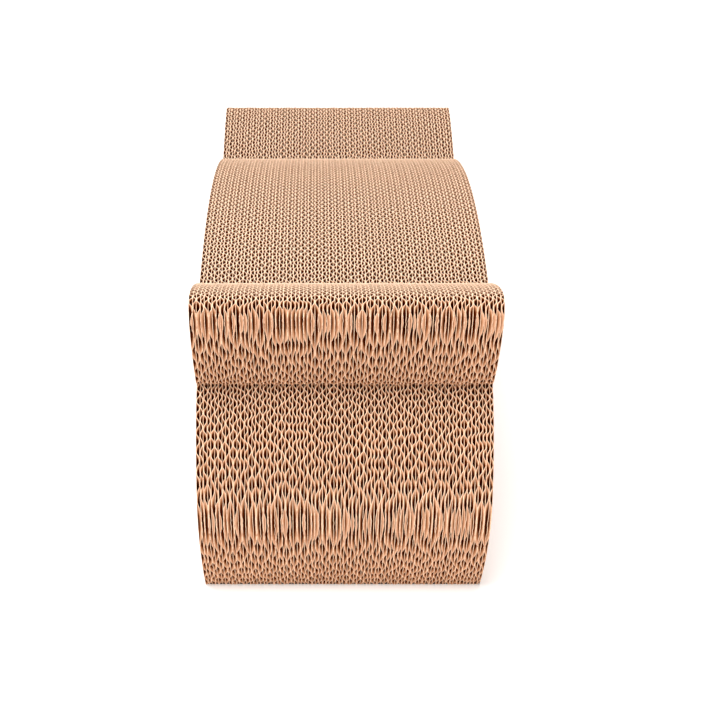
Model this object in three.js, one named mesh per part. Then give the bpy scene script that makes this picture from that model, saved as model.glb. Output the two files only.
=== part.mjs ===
// Cat scratcher lounge: corrugated boards cut to one outline, stood on edge and glued side by side.
// Millimetres. X runs across the boards, Y from the front end to the back, Z up from the floor.
import * as THREE from "three";

// The stack of boards
const BOARD_COUNT = 40;
const BOARD_THICKNESS = 5.9;
const GLUE_GAP = 0.15;

// The outline is the same at both ends, so depths are measured in from each end and heights from the floor
const LENGTH = 513.3;
const CROWN_HEIGHT = 281.4;

// Cheek: it tucks in at the floor, bulges out above it and leans in to the neck
const CHEEK_TUCK = 25.2;
const CHEEK_TUCK_RISE = 48.6;
const CHEEK_TUCK_FULLNESS = 0.59;
const CHEEK_BULGE_HEIGHT = 90.3;
const CHEEK_LEAN_DROP = 38.7;
const CHEEK_LEAN_FULLNESS = 0.47;

// Neck: the crease between the cheek and the ear above it
const NECK_DEPTH = 52;
const NECK_DROP = 89.5;

// Ear: its underside swells out to a tip, turns over to a crown and slopes down to the seat
const EAR_OVERHANG = 23.4;
const EAR_UNDERSIDE_RISE = 18.2;
const EAR_UNDERSIDE_FULLNESS = 0.36;
const EAR_TIP_DROP = 18.1;
const EAR_TIP_TO_CROWN = 13.1;
const EAR_TOP_FULLNESS = 0.59;
const EAR_SLOPE_RUN = 73.9;
const EAR_SLOPE_LEVEL_RUN = 23;
const EAR_SLOPE_FULLNESS = 0.57;

// Seat: one long domed arc between the ears
const SEAT_RADIUS = 392;
const SEAT_CREST_HEIGHT = 278.3;

// Steps in each bend of the outline, with twice as many in the seat's arc
const STEPS_PER_BEND = 7;

const KRAFT = { color: 0xcda37e, roughness: 0.95, metalness: 0 };

// Height of the seat's arc at a depth from either end
function seatHeight(depth) {
  const run = LENGTH / 2 - depth;
  return SEAT_CREST_HEIGHT - SEAT_RADIUS + Math.sqrt(SEAT_RADIUS ** 2 - run ** 2);
}

// One end from the floor to the seat: points as depth and height, and the corner that each bend heads for
function endOutline() {
  const neckHeight = CROWN_HEIGHT - NECK_DROP;
  const tipDepth = NECK_DEPTH - EAR_OVERHANG;
  const crownDepth = tipDepth + EAR_TIP_TO_CROWN;
  const seatDepth = crownDepth + EAR_SLOPE_RUN;
  const points = [
    [CHEEK_TUCK, 0],
    [0, CHEEK_BULGE_HEIGHT],
    [NECK_DEPTH, neckHeight],
    [tipDepth, CROWN_HEIGHT - EAR_TIP_DROP],
    [crownDepth, CROWN_HEIGHT],
    [seatDepth, seatHeight(seatDepth)],
  ];
  const bends = [
    { corner: [0, CHEEK_TUCK_RISE], fullness: CHEEK_TUCK_FULLNESS },
    { corner: [0, neckHeight - CHEEK_LEAN_DROP], fullness: CHEEK_LEAN_FULLNESS },
    { corner: [tipDepth, neckHeight + EAR_UNDERSIDE_RISE], fullness: EAR_UNDERSIDE_FULLNESS },
    { corner: [tipDepth, CROWN_HEIGHT], fullness: EAR_TOP_FULLNESS },
    { corner: [crownDepth + EAR_SLOPE_LEVEL_RUN, CROWN_HEIGHT], fullness: EAR_SLOPE_FULLNESS },
  ];
  return { points, bends };
}

// A curve from one point to another that leaves and arrives heading for the corner
function bend(shape, from, corner, fullness, to) {
  const toward = (p, i) => p[i] + fullness * (corner[i] - p[i]);
  shape.bezierCurveTo(toward(from, 0), toward(from, 1), toward(to, 0), toward(to, 1), to[0], to[1]);
}

// The closed side outline of every board: up the front, over the seat, down the back, along the floor
function boardOutline() {
  const { points, bends } = endOutline();
  const atFront = ([depth, height]) => [depth - LENGTH / 2, height];
  const atBack = ([depth, height]) => [LENGTH / 2 - depth, height];

  const shape = new THREE.Shape();
  shape.moveTo(...atFront(points[0]));
  bends.forEach(({ corner, fullness }, i) => {
    bend(shape, atFront(points[i]), atFront(corner), fullness, atFront(points[i + 1]));
  });

  const seatCentreHeight = SEAT_CREST_HEIGHT - SEAT_RADIUS;
  const [seatFrontY, seatFrontHeight] = atFront(points.at(-1));
  const frontAngle = Math.atan2(seatFrontHeight - seatCentreHeight, seatFrontY);
  const clockwise = true;
  shape.absarc(0, seatCentreHeight, SEAT_RADIUS, frontAngle, Math.PI - frontAngle, clockwise);

  for (let i = bends.length - 1; i >= 0; i -= 1) {
    const { corner, fullness } = bends[i];
    bend(shape, atBack(points[i + 1]), atBack(corner), fullness, atBack(points[i]));
  }
  shape.closePath();
  return shape;
}

// One board, standing on edge with its outline square to X
function boardGeometry() {
  const geometry = new THREE.ExtrudeGeometry(boardOutline(), {
    depth: BOARD_THICKNESS,
    curveSegments: STEPS_PER_BEND,
    bevelEnabled: false,
  });
  const alongY = new THREE.Vector3(0, 1, 0);
  const alongZ = new THREE.Vector3(0, 0, 1);
  const alongX = new THREE.Vector3(1, 0, 0);
  geometry.applyMatrix4(new THREE.Matrix4().makeBasis(alongY, alongZ, alongX));
  return geometry;
}

// Side walls are named for the photographed view, from the front end
function boardName(index) {
  if (index === 0) return "outer_board_left";
  if (index === BOARD_COUNT - 1) return "outer_board_right";
  return `inner_board_${String(index).padStart(2, "0")}`;
}

const lounge = new THREE.Group();
const board = boardGeometry();
const kraft = new THREE.MeshStandardMaterial(KRAFT);
const pitch = BOARD_THICKNESS + GLUE_GAP;
const stackWidth = BOARD_COUNT * pitch - GLUE_GAP;

for (let index = 0; index < BOARD_COUNT; index += 1) {
  const mesh = new THREE.Mesh(board.clone(), kraft);
  mesh.name = boardName(index);
  mesh.geometry.translate(index * pitch - stackWidth / 2, 0, 0);
  lounge.add(mesh);
}

export default lounge;
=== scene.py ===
# %% [markdown]
# Cat scratcher lounge, as a Blender lesson.
# The real lounge is forty sheets of double-wall corrugated board, die-cut to one outline, stood on
# edge and glued face to face. Its surface is nothing but the cut ends of paper, so the lesson is
# about paper: flat liners, wavy flutes between them, and what a blade leaves behind.
# A smooth block with a bump pattern would be quicker, but a pattern has no holes to look into. So
# the paper itself is modelled, once, and every board is a copy with its own small faults.
# The frame holds the plain solids of the boards. It is in metres, so sizes are written times MM.

# %% Load the frame
import math

import bpy
import numpy as np
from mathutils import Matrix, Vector, kdtree


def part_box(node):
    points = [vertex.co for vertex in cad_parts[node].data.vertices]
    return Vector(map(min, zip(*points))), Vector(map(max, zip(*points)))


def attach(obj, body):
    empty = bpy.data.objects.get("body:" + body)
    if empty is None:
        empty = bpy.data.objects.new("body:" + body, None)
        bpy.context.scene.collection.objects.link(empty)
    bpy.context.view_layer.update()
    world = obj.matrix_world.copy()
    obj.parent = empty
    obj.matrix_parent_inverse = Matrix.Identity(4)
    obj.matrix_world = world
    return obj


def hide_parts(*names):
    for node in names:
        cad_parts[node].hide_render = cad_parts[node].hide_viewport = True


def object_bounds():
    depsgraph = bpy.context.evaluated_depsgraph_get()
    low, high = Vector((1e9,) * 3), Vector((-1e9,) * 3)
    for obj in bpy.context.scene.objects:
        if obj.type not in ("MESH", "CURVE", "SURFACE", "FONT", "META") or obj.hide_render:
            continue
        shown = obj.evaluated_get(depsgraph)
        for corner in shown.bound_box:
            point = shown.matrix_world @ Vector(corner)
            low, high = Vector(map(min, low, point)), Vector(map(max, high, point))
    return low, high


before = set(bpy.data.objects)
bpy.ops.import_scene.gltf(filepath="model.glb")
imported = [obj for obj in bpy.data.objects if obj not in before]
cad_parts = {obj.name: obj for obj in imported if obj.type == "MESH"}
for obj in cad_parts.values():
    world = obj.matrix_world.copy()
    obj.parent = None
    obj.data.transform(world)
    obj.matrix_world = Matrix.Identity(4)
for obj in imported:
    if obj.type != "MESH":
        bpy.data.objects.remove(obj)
cad_box = [list(corner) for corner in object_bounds()]
MM = 0.001
board_names = sorted(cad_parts, key=lambda name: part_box(name)[0].x)
print(len(board_names), "boards, box", cad_box)

# %% [markdown]
# Operators work on whatever is selected, and the frame arrives with its solids selected. Three
# small helpers keep the selection honest: one leaves a single object selected and active, and the
# other two go into edit mode with everything selected and come out again.

# %% Helpers for selecting
def only(thing):
    bpy.ops.object.select_all(action="DESELECT")
    thing.select_set(True)
    bpy.context.view_layer.objects.active = thing


def edit(thing):
    only(thing)
    bpy.ops.object.mode_set(mode="EDIT")
    bpy.ops.mesh.select_all(action="SELECT")


def done():
    bpy.ops.object.mode_set(mode="OBJECT")


print("helpers: only, edit, done")

# %% [markdown]
# The camera stands in front of the near end and looks down on it, as in the photograph. It could
# be placed by eye, but the flutes gave its tilt and distance: they close up where the cut face
# turns away from the lens. It looks straight along the boards, so the framing is done by a small
# sideways shift and not by a turn, which would make the boards run askew.

# %% Camera
PHOTO_WIDTH = 711
FOCAL_PIXELS = 1147
SHIFT_PIXELS = 38.5
DOWN_TILT = math.radians(31.12)
CAMERA_PLACE = (-0.0226, -0.9937, 0.6968)

bpy.ops.object.camera_add(location=CAMERA_PLACE, rotation=(math.pi / 2 - DOWN_TILT, 0, 0))
camera = bpy.context.object
camera.name = "photo_camera"
camera.data.sensor_fit = "HORIZONTAL"
camera.data.lens = camera.data.sensor_width * FOCAL_PIXELS / PHOTO_WIDTH
camera.data.shift_x = SHIFT_PIXELS / PHOTO_WIDTH
bpy.context.scene.camera = camera
print("lens", round(camera.data.lens, 1), "mm")

# %% [markdown]
# All boards share one outline: flat underneath, a bulging cheek at each end, an ear above it and a
# domed seat between. Drawn again by hand it could drift from the solids, so it is traced from a
# copy of one board. The copy arrives as loose triangles. Its doubles are merged, and one side of
# it is kept as a bare edge.

# %% Trace the outline from one board
MERGE = 0.01 * MM
SIDEWAYS = 0.9

first_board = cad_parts[board_names[0]]
outline = bpy.data.objects.new("outline", first_board.data.copy())
bpy.context.collection.objects.link(outline)
edit(outline)
bpy.ops.mesh.remove_doubles(threshold=MERGE)
bpy.ops.mesh.select_mode(type="FACE")
bpy.ops.mesh.select_all(action="DESELECT")
done()
for face in outline.data.polygons:
    face.select = face.normal.x > -SIDEWAYS
bpy.ops.object.mode_set(mode="EDIT")
bpy.ops.mesh.delete(type="FACE")
bpy.ops.mesh.select_all(action="SELECT")
bpy.ops.mesh.dissolve_faces()
bpy.ops.mesh.select_all(action="SELECT")
bpy.ops.mesh.delete(type="ONLY_FACE")
done()
print("outline of", len(outline.data.vertices), "points")

# %% [markdown]
# A die is bent from steel strip, so it curves smoothly where the solid has short straight steps.
# Smoothing the mesh would shrink it. Turned into a curve, the outline runs smoothly through the
# same points: automatic handles do that, and only the creases and the two floor corners keep
# straight handles. Where the cut is steep, the flutes run along it and show every kink, so there
# the curve gets twice the points.

# %% Smooth the outline, but not its creases
CREASE_ANGLE = math.radians(32)
STEEP = 0.8


def select_points(points, wanted):
    for point, chosen in zip(points, wanted):
        point.select_control_point = chosen
        point.select_left_handle = chosen
        point.select_right_handle = chosen


only(outline)
bpy.ops.object.convert(target="CURVE")
outline = bpy.context.object
bpy.ops.object.mode_set(mode="EDIT")
bpy.ops.curve.select_all(action="SELECT")
bpy.ops.curve.spline_type_set(type="BEZIER")
bpy.ops.curve.handle_type_set(type="AUTOMATIC")
points = outline.data.splines[0].bezier_points
spots = [point.co.copy() for point in points]
before = spots[-1:] + spots[:-1]
after = spots[1:] + spots[:1]
sharp = [(b - a).angle(c - b) > CREASE_ANGLE for a, b, c in zip(before, spots, after)]
steep = [abs((c - a).z) > STEEP * (c - a).length for a, c in zip(before, after)]
select_points(points, sharp)
bpy.ops.curve.handle_type_set(type="VECTOR")
select_points(points, steep)
bpy.ops.curve.subdivide(number_cuts=1)
done()
print(sum(sharp), "creases,", sum(steep), "steep points")

# %% [markdown]
# Faces can't be filled in and creased on a curve, so it becomes a mesh again, with a few short
# edges for each stretch of curve. They are too short to show at this distance.

# %% Back to a mesh
EDGES_PER_STRETCH = 4

outline.data.resolution_u = EDGES_PER_STRETCH
only(outline)
bpy.ops.object.convert(target="MESH")
outline = bpy.context.object
print("smooth outline of", len(outline.data.vertices), "points")

# %% [markdown]
# A liner is the flat paper of a board: the outline filled, with an inset just inside it. The band
# between the two is the paper near the cut, which gets the light and takes the damage of the blade.
# A finish can't find that band by itself on an outline like this, so each point remembers how far
# below the cut it is: 0 on the cut and 1 from the inner edge of the band.

# %% A flat liner
CUT_BAND = 6 * MM


def remember(thing, name, values):
    layer = thing.data.attributes.new(name, "FLOAT", "POINT")
    layer.data.foreach_set("value", np.asarray(values, dtype=np.float32))


liner = outline
liner.name = "flat_liner"
edit(liner)
bpy.ops.mesh.remove_doubles(threshold=MERGE)
bpy.ops.mesh.edge_face_add()
bpy.ops.mesh.inset(thickness=CUT_BAND, depth=0)
done()
inside = np.array([vertex.select for vertex in liner.data.vertices])
remember(liner, "below_cut", inside)
print("liner with", len(liner.data.polygons), "faces,", int((~inside).sum()), "points on the cut")

# %% [markdown]
# A flute sheet is the same paper with upright creases about a millimetre apart, so that it can be
# rolled into waves. A plain grid would lose the outline. A bisect across the sheet makes each
# crease, and the edges that it splits pass the remembered depth on to their new points.

# %% A sheet ready for fluting
CREASE_STEP = 1.16 * MM

only(liner)
bpy.ops.object.duplicate()
flute_sheet = bpy.context.object
flute_sheet.name = "flute_sheet"
front, back = cad_box[0][1], cad_box[1][1]
crease_count = int((back - front) / CREASE_STEP)
edit(flute_sheet)
for i in range(1, crease_count):
    at = front + (back - front) * i / crease_count
    bpy.ops.mesh.select_all(action="SELECT")
    bpy.ops.mesh.bisect(plane_co=(0, at, 0), plane_no=(0, 1, 0))
done()
print("flute sheet with", len(flute_sheet.data.polygons), "faces")

# %% [markdown]
# Five sheets make one double-wall board: liner, larger flutes, liner, smaller flutes, liner. They
# could be built afresh for each board, but that is slow. So they are joined once, flat and all in
# one place, with a number on each sheet, and this blank is copied for every board.

# %% The blank for a board
LINER, LARGE_FLUTES, SMALL_FLUTES = 0, 1, 2
BOARD_SHEETS = [LINER, LARGE_FLUTES, LINER, SMALL_FLUTES, LINER]
MIDDLE_PLACE = 2


def numbered_copy(sheet, place):
    only(sheet)
    bpy.ops.object.duplicate()
    copy = bpy.context.object
    number = copy.data.attributes.new("sheet", "INT", "POINT")
    number.data.foreach_set("value", np.full(len(copy.data.vertices), place, dtype=np.int32))
    return copy


stacked = []
for place, kind in enumerate(BOARD_SHEETS):
    stacked.append(numbered_copy(liner if kind == LINER else flute_sheet, place))
bpy.ops.object.select_all(action="DESELECT")
for sheet in stacked:
    sheet.select_set(True)
blank = stacked[0]
bpy.context.view_layer.objects.active = blank
bpy.ops.object.join()
blank.name = "board_blank"
print("blank of", len(blank.data.vertices), "points")

# %% [markdown]
# The waves will move every point of every board. Point by point that is slow, and numpy does them
# all at once. So the blank is read into arrays: where each point is, how far below the cut, and in
# which sheet.

# %% Read the blank
def numbers(mesh, name, kind=np.float32):
    values = np.empty(len(mesh.vertices), dtype=kind)
    mesh.attributes[name].data.foreach_get("value", values)
    return values


def places(mesh):
    values = np.empty(len(mesh.vertices) * 3, dtype=np.float32)
    mesh.vertices.foreach_get("co", values)
    return values.reshape(-1, 3)


blank_places = places(blank.data)
blank_below = numbers(blank.data, "below_cut")
blank_sheet = numbers(blank.data, "sheet", np.int32)
print("points in each sheet", np.bincount(blank_sheet))

# %% [markdown]
# The papers differ in thickness. The middle liner is the stoutest liner. An outer liner is thinner,
# because two of them are glued together between boards and read as one line. Flute paper is thin,
# but the blade frays it, so its lip at the cut is thicker. A vertex group holds each point's share
# of the thickest paper, and Solidify will follow it.

# %% Thickness of each paper
OUTER_LINER, MIDDLE_LINER = 0.25 * MM, 0.42 * MM
FLUTE_LIP, FLUTE_PAPER = 0.48 * MM, 0.3 * MM

fluted = np.array(BOARD_SHEETS)[blank_sheet] != LINER
paper = np.where(fluted, FLUTE_LIP + (FLUTE_PAPER - FLUTE_LIP) * blank_below, OUTER_LINER)
paper[blank_sheet == MIDDLE_PLACE] = MIDDLE_LINER
weights = blank.vertex_groups.new(name="thickness")
for i, wall in enumerate(paper):
    weights.add([i], wall / FLUTE_LIP, "REPLACE")
remember(blank, "fluted", fluted)
print("paper", round(paper.min() / MM, 2), "to", round(paper.max() / MM, 2), "mm thick")

# %% [markdown]
# The blade leaves a slightly ragged edge, so each point on the cut needs to know how far round the
# outline it is and which way is inwards. Both come from the liner's outer edge, whose points are
# already in order.

# %% Way round the cut and way in
edge_loop = places(liner.data)[~inside][:, 1:]
next_point = np.roll(edge_loop, -1, axis=0)
ahead = next_point - np.roll(edge_loop, 1, axis=0)
ahead /= np.linalg.norm(ahead, axis=1)[:, None]
edge_steps = np.linalg.norm(np.diff(edge_loop, axis=0), axis=1)
round_the_cut = np.concatenate([[0], np.cumsum(edge_steps)])
turn = np.sum(edge_loop[:, 0] * next_point[:, 1] - edge_loop[:, 1] * next_point[:, 0])
inward = np.stack([-ahead[:, 1], ahead[:, 0]], axis=1) * np.sign(turn)
print("cut", round(float(round_the_cut[-1]), 3), "m round")

# %% [markdown]
# Every point of the blank takes these from the nearest point of that edge. Comparing every pair
# would do, but a k-d tree finds the nearest one at once. Upright is 1 where the cut is vertical and
# 0 where it is level.

# %% Nearest place on the cut
ON_CUT = 0.001

finder = kdtree.KDTree(len(edge_loop))
for i, (y, z) in enumerate(edge_loop):
    finder.insert((0, y, z), i)
finder.balance()
nearest = np.array([finder.find((0, y, z))[1] for y, z in blank_places[:, 1:]])
upright = np.abs(inward[nearest][:, 0])
on_cut = np.flatnonzero(blank_below < ON_CUT)
cut_way = round_the_cut[nearest[on_cut]]
cut_inward = inward[nearest[on_cut]]
cut_upright = upright[on_cut]
print(len(on_cut), "points of the blank on the cut")

# %% [markdown]
# The finishes need two more things. Shade is painted shade: how dark the paper is painted below
# the cut, coming on later where the cut is upright and light reaches along the flutes. Lean is how
# upright the cut is where it faces up, and 1 where it overhangs, so that a finish can paint shade
# on the cheeks that lean back under the ears above them.

# %% Remember shade and lean
SHADE_DELAY, DELAY_POWER = 0.6, 8

faces_up = inward[nearest][:, 1] < 0
remember(blank, "shade", blank_below ** (1 + SHADE_DELAY * upright**DELAY_POWER))
remember(blank, "lean", np.where(faces_up, upright, 1))
print(int(faces_up.sum()), "points face up, of", len(faces_up))

# %% [markdown]
# Kraft paper is brown on its face, and paler where a blade has torn the fibres open. Colours are
# judged on a screen, from 0 to 255, but light adds up in linear values. So each one is written as
# seen and turned into linear values here.

# %% Colours of the paper
def srgb(red, green, blue):
    def linear(level):
        share = level / 255
        return share / 12.92 if share <= 0.04045 else ((share + 0.055) / 1.055) ** 2.4

    return (linear(red), linear(green), linear(blue), 1)


KRAFT_DARK, KRAFT_PALE = srgb(210, 161, 129), srgb(236, 192, 162)
CUT_DARK, CUT_PALE = srgb(248, 206, 174), srgb(255, 228, 199)
# The second colour of the liner ends is painted shade, for the cheeks under the ears.
LINER_CUT, SHADED_LINER_CUT = srgb(250, 210, 178), srgb(234, 184, 150)
print("kraft, cut ends and liner ends, two colours of each")

# %% [markdown]
# Raw paper has no shine, so a finish starts rough and without a highlight. Its colour comes from
# fibres. A picture of paper would stretch and repeat, so they are noise in the piece's own
# coordinates, which stays with the paper.

# %% A plain finish and its fibres
def finish(name, roughness, shine=0):
    material = bpy.data.materials.new(name)
    material.use_nodes = True
    tree = material.node_tree
    shader = tree.nodes["Principled BSDF"]
    shader.inputs["Roughness"].default_value = roughness
    shader.inputs["Specular IOR Level"].default_value = shine
    return material, tree, shader


def fibres(tree, scale, stretch, detail):
    where = tree.nodes.new("ShaderNodeTexCoord")
    mapping = tree.nodes.new("ShaderNodeMapping")
    mapping.inputs["Scale"].default_value = stretch
    noise = tree.nodes.new("ShaderNodeTexNoise")
    noise.inputs["Scale"].default_value = scale
    noise.inputs["Detail"].default_value = detail
    tree.links.new(where.outputs["Object"], mapping.inputs["Vector"])
    tree.links.new(mapping.outputs["Vector"], noise.inputs["Vector"])
    return noise.outputs["Fac"]


print("helpers: finish, fibres")

# %% [markdown]
# Four more helpers write the nodes that every finish uses: a value that the points remember, a ramp
# from a value to a colour, one colour tinted by another, and a fine relief.

# %% Values, ramps, tints and relief
BUMP_STRENGTH = 0.6


def remembered(tree, name):
    node = tree.nodes.new("ShaderNodeAttribute")
    node.attribute_name = name
    return node.outputs["Fac"]


def ramp(tree, value, stops):
    node = tree.nodes.new("ShaderNodeValToRGB")
    while len(node.color_ramp.elements) < len(stops):
        node.color_ramp.elements.new(0.5)
    for element, (at, colour) in zip(node.color_ramp.elements, stops):
        element.position = at
        element.color = colour
    tree.links.new(value, node.inputs["Fac"])
    return node.outputs["Color"]


def multiply(tree, first, second):
    node = tree.nodes.new("ShaderNodeMix")
    node.data_type = "RGBA"
    node.blend_type = "MULTIPLY"
    node.inputs["Factor"].default_value = 1
    tree.links.new(first, node.inputs["A"])
    tree.links.new(second, node.inputs["B"])
    return node.outputs["Result"]


def bump(tree, shader, height, distance):
    node = tree.nodes.new("ShaderNodeBump")
    node.inputs["Distance"].default_value = distance
    node.inputs["Strength"].default_value = BUMP_STRENGTH
    tree.links.new(height, node.inputs["Height"])
    tree.links.new(node.outputs["Normal"], shader.inputs["Normal"])


print("helpers: remembered, ramp, multiply, bump")

# %% [markdown]
# The first finish is the walls of the flutes. They are kraft brown at the cut and fall off into a
# deep red-brown, because light that gets in bounces from brown paper to brown paper. The lamps
# alone leave the holes too pale, so the fall-off is painted in by the remembered shade.

# %% Kraft paper inside the flutes
BELOW_THE_CUT = [
    (0.0, (1, 1, 1, 1)),
    (0.1, (0.7, 0.52, 0.36, 1)),
    (0.23, (0.16, 0.04, 0.007, 1)),
    (0.6, (0.04, 0.004, 0, 1)),
]

kraft, tree, shader = finish("kraft_paper", roughness=0.92)
grain = fibres(tree, scale=260, stretch=(1, 1, 0.35), detail=6)
colour = ramp(tree, grain, [(0.3, KRAFT_DARK), (0.7, KRAFT_PALE)])
# Painted shade: the walls are painted darker the further they lie below the cut.
painted_shade = ramp(tree, remembered(tree, "shade"), BELOW_THE_CUT)
tree.links.new(multiply(tree, colour, painted_shade), shader.inputs["Base Color"])
bump(tree, shader, grain, distance=0.1 * MM)
print("finish:", kraft.name)

# %% [markdown]
# The second finish is the face of a side wall. It is plain kraft, with a faint washboard where the
# flutes under it press through: a faint relief, with a painted shade along each line. A wave
# texture gives the lines, one for each larger flute. Its scale of 1 has a wave every 2 pi / 20 of a
# unit, which the scale here allows for.

# %% Kraft face of the side walls
LARGE_PITCH, SMALL_PITCH = 7.92 * MM, 6.79 * MM
WASHBOARD_SHADE = [(0.0, (0.95, 0.94, 0.93, 1)), (0.5, (1, 1, 1, 1))]

kraft_face, tree, shader = finish("kraft_face", roughness=0.9)
grain = fibres(tree, scale=700, stretch=(1, 1, 0.6), detail=5)
colour = ramp(tree, grain, [(0.2, KRAFT_DARK), (0.8, KRAFT_PALE)])
where = tree.nodes.new("ShaderNodeTexCoord")
washboard = tree.nodes.new("ShaderNodeTexWave")
washboard.bands_direction = "Y"
washboard.inputs["Scale"].default_value = 2 * math.pi / (20 * LARGE_PITCH)
washboard.inputs["Distortion"].default_value = 0.15
tree.links.new(where.outputs["Object"], washboard.inputs["Vector"])
# Painted shade: each washboard line is tinted a little darker.
lines = ramp(tree, washboard.outputs["Fac"], WASHBOARD_SHADE)
tree.links.new(multiply(tree, colour, lines), shader.inputs["Base Color"])
bump(tree, shader, washboard.outputs["Fac"], distance=0.08 * MM)
print("finish:", kraft_face.name)

# %% [markdown]
# The third finish is the cut itself. Flutes show pale torn fibre. Liners are cut cleaner and stay a
# little browner. On the cheeks that lean back under the ears, the liner ends are painted darker, a
# painted shade of the ears above, and the pale waves of the flutes stand out against them. Two
# finishes would do, but one that reads the remembered values needs no sorting of faces.

# %% Cut ends of the paper
# Painted shade: liner ends darker where the cut faces up and leans back under the ears.
LINER_SHADE_BY_LEAN = [
    (0.45, LINER_CUT),
    (0.7, SHADED_LINER_CUT),
    (0.88, SHADED_LINER_CUT),
    (0.98, LINER_CUT),
]

cut_paper, tree, shader = finish("cut_paper", roughness=0.95)
torn = fibres(tree, scale=900, stretch=(1, 1, 1), detail=4)
ends = tree.nodes.new("ShaderNodeMix")
ends.data_type = "RGBA"
tree.links.new(remembered(tree, "fluted"), ends.inputs["Factor"])
tree.links.new(ramp(tree, remembered(tree, "lean"), LINER_SHADE_BY_LEAN), ends.inputs["A"])
tree.links.new(ramp(tree, torn, [(0.35, CUT_DARK), (0.65, CUT_PALE)]), ends.inputs["B"])
tree.links.new(ends.outputs["Result"], shader.inputs["Base Color"])
bump(tree, shader, torn, distance=0.15 * MM)
print("finish:", cut_paper.name)

# %% [markdown]
# Another program can't read these finishes, so to leave Blender they must be baked into a
# picture for each board, and a map says where in the picture each face lies. An automatic map
# shares the room by area, and most of a board's paper is never seen. So this one is laid out as
# follows: round the cut, each sheet is unrolled into strips of wall, cut end and wall. First comes
# the way round the cut in pixels, from a floor corner, with the floor side drawn short.

# %% Way round the cut, on the map
PICTURE, MAP_EDGE = 1024, 12
STRIPS_PER_SHEET = 3
STRIP_LENGTH = PICTURE - 2 * MAP_EDGE
LOOP_ROOM = STRIPS_PER_SHEET * STRIP_LENGTH
FLOOR_SHARE = 0.2
AT_FLOOR = 0.1 * MM

on_floor = (edge_loop[:, 1] < AT_FLOOR) & (next_point[:, 1] < AT_FLOOR)
step_room = np.linalg.norm(next_point - edge_loop, axis=1) * np.where(on_floor, FLOOR_SHARE, 1)
step_room *= LOOP_ROOM / step_room.sum()
corner = np.flatnonzero(np.roll(on_floor, 1) & ~on_floor)[0]
step_start = np.roll(np.cumsum(np.roll(step_room, -corner)), corner) - step_room
print("cut unrolled over", round(float(step_room.sum())), "pixels")

# %% [markdown]
# A point of the blank may lie between two points of that edge, or inside it. So its way on the map
# is that of the nearest place on the two steps beside its nearest point.

# %% Way of each point, on the map
def way_on_map(spots):
    ways, gaps = [], []
    for step in (nearest - 1, nearest):
        start, run = edge_loop[step], next_point[step] - edge_loop[step]
        part = np.sum((spots - start) * run, axis=1) / np.sum(run * run, axis=1)
        part = np.clip(part, 0, 1)
        ways.append(step_start[step] + part * step_room[step])
        gaps.append(np.linalg.norm(spots - start - part[:, None] * run, axis=1))
    return np.where(gaps[0] < gaps[1], ways[0], ways[1])


map_way = way_on_map(blank_places[:, 1:])
print("ways on the map from", round(float(map_way.min())), "to", round(float(map_way.max())))

# %% [markdown]
# A mesh keeps its map corner by corner. This helper lists the point and the face that each corner
# belongs to, where the corners of each face start, and how many there are.

# %% Corners of the faces
def corners(mesh):
    points = np.empty(len(mesh.loops), dtype=np.int32)
    mesh.loops.foreach_get("vertex_index", points)
    first, count = np.empty((2, len(mesh.polygons)), dtype=np.int32)
    mesh.polygons.foreach_get("loop_start", first)
    mesh.polygons.foreach_get("loop_total", count)
    return points, np.repeat(np.arange(len(count)), count), first, count


print("blank with", len(corners(blank.data)[0]), "corners")

# %% [markdown]
# Each strip has a band for the wall on one side of the sheet, a rim for its cut end and a band for
# the other wall. Solidify will keep the blank's points first and add the other side's points after
# them, so a point's number tells its side. A face that crosses the start of the loop is kept in one
# piece.

# %% Strips of the map
BAND_ROOM, RIM_ROOM = 10, 4
STRIP_FOOT, STRIP_GAP = 1, 2


def lay_strips(point, side, face, first, count, tall):
    """Place of each corner on its strip, in pixels, and the top of all the strips."""
    start = map_way[point][first][face]
    way = start + (map_way[point] - start + LOOP_ROOM / 2) % LOOP_ROOM - LOOP_ROOM / 2
    row = np.add.reduceat(way, first) / count // STRIP_LENGTH
    row = np.clip(row, 0, STRIPS_PER_SHEET - 1)[face]
    band, rim = tall * BAND_ROOM, tall * RIM_ROOM
    strip = 2 * band + rim + STRIP_GAP
    below = blank_below[point]
    across = MAP_EDGE + way - row * STRIP_LENGTH
    up = STRIP_FOOT + (blank_sheet[point] * STRIPS_PER_SHEET + row) * strip
    up += np.where(side == 0, band * (1 - below), band + rim + band * below)
    return across, up, len(BOARD_SHEETS) * STRIPS_PER_SHEET * strip


print(len(BOARD_SHEETS) * STRIPS_PER_SHEET, "strips on each map")

# %% [markdown]
# Above the strips each side of each sheet has a small patch for its hidden middle, and the outer
# boards have a large one for the side wall. Inner boards have no side wall to show, so their strips
# can be twice as tall.

# %% Lay out a board's map
PATCH_WIDTH, PATCH_HEIGHT, PATCH_FILL = 200, 64, 0.95
PATCHES_PER_ROW, PATCH_ROWS = 5, 2
PATCH_GAP, WALL_GAP = 6, 4
WALL_SCALE = 1.73 / MM
INSIDE_BAND = 0.999


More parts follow.
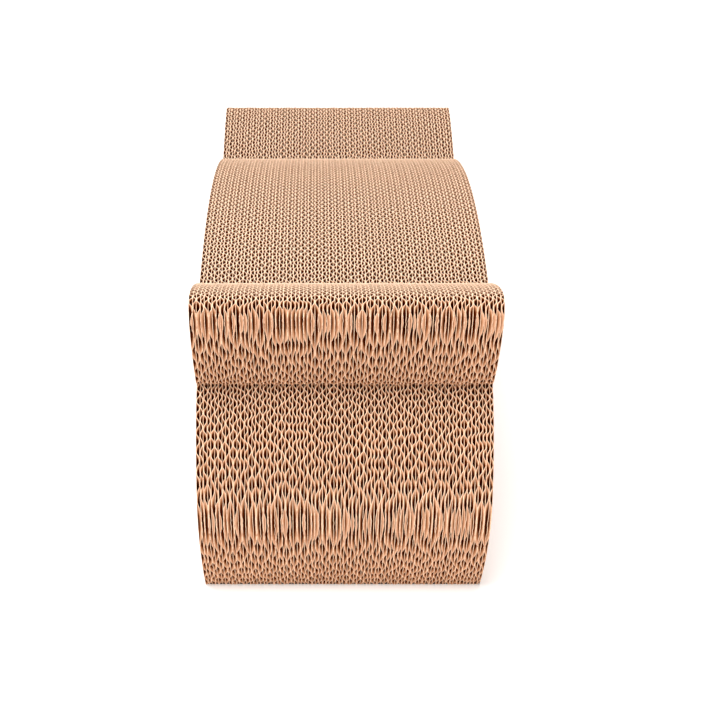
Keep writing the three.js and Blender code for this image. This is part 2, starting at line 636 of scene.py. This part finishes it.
def lay_out(board, shown):
    points, face, first, count = corners(board.data)
    point, side = points % len(blank_places), points // len(blank_places)
    tall = 1 if shown.any() else 2
    across, up, strips_top = lay_strips(point, side, face, first, count, tall)

    y, z = blank_places[point, 1] - front, blank_places[point, 2]
    patch = blank_sheet[point] * 2 + side
    column, row = patch % PATCHES_PER_ROW, patch // PATCHES_PER_ROW
    wide, high = PATCH_FILL * y / (back - front), PATCH_FILL * z / cad_box[1][2]
    patches = strips_top + PATCH_GAP
    middle = (np.minimum.reduceat(blank_below[point], first) > INSIDE_BAND)[face]
    across[middle] = (MAP_EDGE + PATCH_WIDTH * (column + wide))[middle]
    up[middle] = (patches + PATCH_HEIGHT * (row + high))[middle]

    wall = shown[face]
    across[wall] = (MAP_EDGE + WALL_SCALE * y)[wall]
    up[wall] = (patches + PATCH_ROWS * PATCH_HEIGHT + WALL_GAP + WALL_SCALE * z)[wall]
    layer = board.data.uv_layers.new(name="OFBake")
    places_on_map = np.stack([across, up], axis=1) / PICTURE
    layer.data.foreach_set("uv", places_on_map.astype(np.float32).ravel())


wall_room = round((back - front) * WALL_SCALE), round(cad_box[1][2] * WALL_SCALE)
print("side wall", wall_room[0], "by", wall_room[1], "pixels")

# %% [markdown]
# Now the flutes. Real board is never exact: the pitch wanders, some flutes are crushed, and the
# blade pushes the paper aside where it comes through. Noise for each point would only look fuzzy.
# Faults in paper are longer than that, so this helper drifts smoothly between random knots.

# %% A smooth drift
def wander(rng, way, step, size):
    """A smooth random drift along a way, up to about the size."""
    knots = rng.uniform(-1, 1, int(way.max() / step) + 4)
    spot = way / step
    left = spot.astype(int)
    part = spot - left
    part = part * part * (3 - 2 * part)
    return size * (knots[left] * (1 - part) + knots[left + 1] * part)


print("helper: wander")

# %% [markdown]
# A corrugator rolls paper between toothed drums. A plain sine is too sharp at its crests, where the
# paper is pressed flat on the liner, so the sine is blunted, more in some places than in others.
# The crests bite a little way into the liners, as glued paper does.

# %% The wave of a flute sheet
PITCH_RANGE = (0.985, 1.015)
PITCH_DRIFT_STEP, PITCH_DRIFT = 45 * MM, 0.10
BLUNT, BLUNT_DRIFT_STEP, BLUNT_DRIFT = 1.6, 22 * MM, 0.9
GLUE_BITE = 0.05 * MM


def flute_wave(rng, y, pitch, room):
    along = y - y.min()
    start = rng.uniform(0, 1)
    pitch = pitch * rng.uniform(*PITCH_RANGE)
    turns = along / pitch + start + wander(rng, along, PITCH_DRIFT_STEP, PITCH_DRIFT)
    blunt = BLUNT + wander(rng, along, BLUNT_DRIFT_STEP, BLUNT_DRIFT)
    wave = np.tanh(blunt * np.sin(2 * np.pi * turns)) / np.tanh(blunt)
    return (room / 2 - FLUTE_PAPER / 2 + GLUE_BITE) * wave


print("waves every", LARGE_PITCH / MM, "and", SMALL_PITCH / MM, "mm")

# %% [markdown]
# The blade pushes the end of each sheet in and aside, most where it runs along the flutes and tears
# them open. The side walls and the underside stay true: the outer liners are never pushed aside,
# they stop the lips of the flutes, and the floor edge isn't touched.

# %% The ragged cut
LEAST_ROUGH, ROUGH_POWER = 0.25, 4
FACING_FLOOR = 0.95
INTO_STEP, INTO = 2.0 * MM, 0.8 * MM
ASIDE_STEP, ASIDE = 3 * MM, 0.3 * MM
LINER_STOP = FLUTE_LIP / 2 + 0.1 * MM


def roughen(rng, spots, place, left, right):
    cut = np.flatnonzero(blank_sheet[on_cut] == place)
    rough = LEAST_ROUGH + (1 - LEAST_ROUGH) * cut_upright[cut] ** ROUGH_POWER
    rough = rough * (cut_inward[cut][:, 1] < FACING_FLOOR)
    into = np.abs(wander(rng, cut_way[cut], INTO_STEP, INTO)) * rough
    aside = wander(rng, cut_way[cut], ASIDE_STEP, ASIDE) * rough
    spots[on_cut[cut], 1:] += cut_inward[cut] * into[:, None]
    if 0 < place < len(BOARD_SHEETS) - 1:
        pushed = spots[on_cut[cut], 0] + aside
        spots[on_cut[cut], 0] = np.clip(pushed, left + LINER_STOP, right - LINER_STOP)


print("cut pushed in by up to", INTO / MM, "mm and aside by up to", ASIDE / MM, "mm")

# %% [markdown]
# With these, the sheets of a board go to their places across its thickness, and the flutes get
# their waves. A generator seeded with the board's number gives each board its own faults, the same
# ones on every run.

# %% Place the sheets of a board
LARGE_SHARE = 0.54


def place_sheets(seed, left, right):
    rng = np.random.default_rng(seed)
    spots = blank_places.copy()
    thickness = right - left
    room = thickness - 2 * OUTER_LINER - MIDDLE_LINER
    large, small = room * LARGE_SHARE, room * (1 - LARGE_SHARE)
    layers = {LARGE_FLUTES: (LARGE_PITCH, large), SMALL_FLUTES: (SMALL_PITCH, small)}
    middles = [
        OUTER_LINER / 2,
        OUTER_LINER + large / 2,
        OUTER_LINER + large + MIDDLE_LINER / 2,
        thickness - OUTER_LINER - small / 2,
        thickness - OUTER_LINER / 2,
    ]
    for place, kind in enumerate(BOARD_SHEETS):
        of_sheet = blank_sheet == place
        spots[of_sheet, 0] = left + middles[place]
        if kind in layers:
            spots[of_sheet, 0] += flute_wave(rng, spots[of_sheet, 1], *layers[kind])
        roughen(rng, spots, place, left, right)
    return spots


print("larger flutes take", LARGE_SHARE, "of the room between the liners")

# %% [markdown]
# On the real lounge a film of glue fills the space between boards. Left open, it would show as a
# dark line, so each board reaches half way across it to its neighbour.

# %% Sides of a board
def glued_sides(place):
    """Left and right side of a board, each half way across the glue to its neighbour."""
    boxes = [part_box(name) for name in board_names]
    left, right = boxes[place][0].x, boxes[place][1].x
    if place > 0:
        left = (left + boxes[place - 1][1].x) / 2
    if place < len(boxes) - 1:
        right = (right + boxes[place + 1][0].x) / 2
    return left, right


left, right = glued_sides(1)
print("an inner board is", round((right - left) / MM, 2), "mm thick with its glue")

# %% [markdown]
# Paper has two walls and an edge. Drawing them would triple the work, so Solidify gives each sheet
# its thickness, from the vertex group, and puts the cut finish on the rim. The outer faces of the
# outer liners get the face finish, and those that make a side wall of the lounge are noted for the
# map.

# %% Thicken the paper and face the sides
CUT_SLOT, FACE_SLOT = 1, 2


def thicken(board):
    bpy.ops.object.modifier_add(type="SOLIDIFY")
    wall = board.modifiers[-1]
    wall.thickness = FLUTE_LIP
    wall.vertex_group = "thickness"
    wall.offset = 0
    wall.material_offset_rim = CUT_SLOT
    bpy.ops.object.modifier_apply(modifier=wall.name)


def face_sides(board, place, left, right):
    """Give the outer faces their finish, and say which of them the lounge shows."""
    shown = np.zeros(len(board.data.polygons), dtype=bool)
    for face in board.data.polygons:
        from_side = min(face.center.x - left, right - face.center.x)
        if abs(face.normal.x) > SIDEWAYS and from_side < OUTER_LINER / 4:
            face.material_index = FACE_SLOT
            shown[face.index] = place == (0 if face.normal.x < 0 else len(board_names) - 1)
    return shown


print("slots: kraft_paper 0, cut_paper", CUT_SLOT, "and kraft_face", FACE_SLOT)

# %% [markdown]
# Now each board is made: a copy of the blank with its own mesh, moved into waves, thickened, faced
# and mapped. Shading is smooth along the waves and sharp at the cut. The board rides on the
# lounge's one body, and takes the place of the solid that it is named after.

# %% Make the boards
SMOOTH_ANGLE = math.radians(40)


def make_board(place):
    name = board_names[place]
    left, right = glued_sides(place)
    only(blank)
    bpy.ops.object.duplicate()
    board = bpy.context.object
    board.name = "fluted_" + name
    board.data.name = board.name
    board.data.vertices.foreach_set("co", place_sheets(place, left, right).ravel())
    for paper_finish in (kraft, cut_paper, kraft_face):
        board.data.materials.append(paper_finish)
    thicken(board)
    lay_out(board, face_sides(board, place, left, right))
    bpy.ops.object.shade_smooth_by_angle(angle=SMOOTH_ANGLE)
    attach(board, "root")
    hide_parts(name)
    return board


boards = [make_board(place) for place in range(len(board_names))]
faces = sum(len(board.data.loops) - 2 * len(board.data.polygons) for board in boards)
print(len(boards), "boards,", faces, "triangles")

# %% [markdown]
# The blank, the flat liner and the flat flute sheet only helped. They aren't part of the lounge, so
# they go away.

# %% Clear the bench
for helper in (blank, liner, flute_sheet):
    bpy.data.objects.remove(helper)

# %% [markdown]
# The lounge is shown on white. A white floor under lamps comes out grey, and more light would wash
# out the paper. So the floor and the surround have one level for the eye and another for the light
# that they give. A mirror or a glass counts as the eye.

# %% Two levels, for the eye and for light
def seen_level(tree, other, seen):
    ray = tree.nodes.new("ShaderNodeLightPath")
    total = ray.outputs["Is Camera Ray"]
    for kind in ("Is Glossy Ray", "Is Transmission Ray"):
        either = tree.nodes.new("ShaderNodeMath")
        either.operation = "MAXIMUM"
        tree.links.new(total, either.inputs[0])
        tree.links.new(ray.outputs[kind], either.inputs[1])
        total = either.outputs[0]
    level = tree.nodes.new("ShaderNodeMapRange")
    level.inputs["To Min"].default_value = other
    level.inputs["To Max"].default_value = seen
    tree.links.new(total, level.inputs["Value"])
    return level


print("helper: seen_level")

# %% [markdown]
# The floor is one large pale plane. Near the lounge it glows little and keeps a soft shadow, and it
# pales with distance until it can't be told from the surround.

# %% Floor
FLOOR_SIZE = 8
PALING_FROM, PALING_TO = 0.4, 1.2
GLOW_NEAR, GLOW_FAR = 0.2, 0.5

bpy.ops.mesh.primitive_plane_add(size=FLOOR_SIZE, location=(0, 0, 0))
floor = bpy.context.object
floor.name = "studio_floor"
floor_paint, tree, shader = finish("floor_paint", roughness=1, shine=0.5)
shader.inputs["Base Color"].default_value = (0.95, 0.95, 0.95, 1)
shader.inputs["Emission Color"].default_value = (1, 1, 1, 1)
where = tree.nodes.new("ShaderNodeTexCoord")
away = tree.nodes.new("ShaderNodeVectorMath")
away.operation = "LENGTH"
paling = tree.nodes.new("ShaderNodeMapRange")
paling.inputs["From Min"].default_value = PALING_FROM
paling.inputs["From Max"].default_value = PALING_TO
paling.inputs["To Min"].default_value = GLOW_NEAR
paling.inputs["To Max"].default_value = GLOW_FAR
glow = seen_level(tree, 0, GLOW_FAR)
tree.links.new(where.outputs["Object"], away.inputs[0])
tree.links.new(away.outputs["Value"], paling.inputs["Value"])
tree.links.new(paling.outputs["Result"], glow.inputs["To Max"])
tree.links.new(glow.outputs["Result"], shader.inputs["Emission Strength"])
floor.data.materials.append(floor_paint)
print("floor", FLOOR_SIZE, "m wide")

# %% [markdown]
# The flutes stand open on the floor, so a view down into them would end on bright floor, as if each
# one were lit from below. Under the real lounge it is dark. A dark sheet there, a painted shadow
# just off the floor and a little smaller than the underside, puts that right.

# %% Dark sheet under the lounge
SHEET_HEIGHT = 0.05 * MM
SHEET_WIDTH_SHARE, SHEET_LENGTH_SHARE = 0.99, 0.9

low, high = Vector(cad_box[0]), Vector(cad_box[1])
bpy.ops.mesh.primitive_plane_add(size=1, location=(0, 0, SHEET_HEIGHT))
patch = bpy.context.object
patch.name = "shadow_under_lounge"
width, length = high.x - low.x, high.y - low.y
patch.scale = (SHEET_WIDTH_SHARE * width, SHEET_LENGTH_SHARE * length, 1)
patch_paint, tree, shader = finish("shadow_paint", roughness=1, shine=0.5)
shader.inputs["Base Color"].default_value = (0.05, 0.03, 0.02, 1)
patch.data.materials.append(patch_paint)
print("dark sheet", [round(side, 3) for side in patch.scale[:2]], "m")

# %% [markdown]
# Two soft lamps light it: a strong one above and in front, and a weak warm one low in front, so
# that the cheeks under the ears don't go grey. A lamp's size is what makes its shadows soft, so
# both are wide discs turned towards the middle of the lounge.

# %% Lamps
LAMP_SIZE = 1.4
MIDDLE = Vector((0, 0, 0.15))


def soft_disc(name, place, energy, colour=(1, 1, 1)):
    bpy.ops.object.light_add(type="AREA", location=place)
    lamp = bpy.context.object
    lamp.name = name
    lamp.data.shape = "DISK"
    lamp.data.size = LAMP_SIZE
    lamp.data.energy = energy
    lamp.data.color = colour
    lamp.rotation_euler = (MIDDLE - lamp.location).to_track_quat("-Z", "Y").to_euler()


soft_disc("soft_lamp", (-0.3, -0.6, 1.95), energy=46)
soft_disc("front_fill", (0.2, -1.9, 0.35), energy=11, colour=(1, 0.88, 0.76))
print("two lamps", LAMP_SIZE, "m wide")

# %% [markdown]
# The surround is plain white to the eye and gives less than half of that as light, so that the
# lamps still shape the lounge.

# %% Surround
SURROUND_LIGHT, SURROUND_SEEN = 0.45, 1

world = bpy.data.worlds.new("studio_surround")
bpy.context.scene.world = world
world.use_nodes = True
tree = world.node_tree
background = tree.nodes["Background"]
background.inputs["Color"].default_value = (1, 1, 1, 1)
level = seen_level(tree, SURROUND_LIGHT, SURROUND_SEEN)
tree.links.new(level.outputs["Result"], background.inputs["Strength"])
bpy.context.scene.view_settings.view_transform = "Standard"
print("surround gives", SURROUND_LIGHT, "and shows", SURROUND_SEEN)
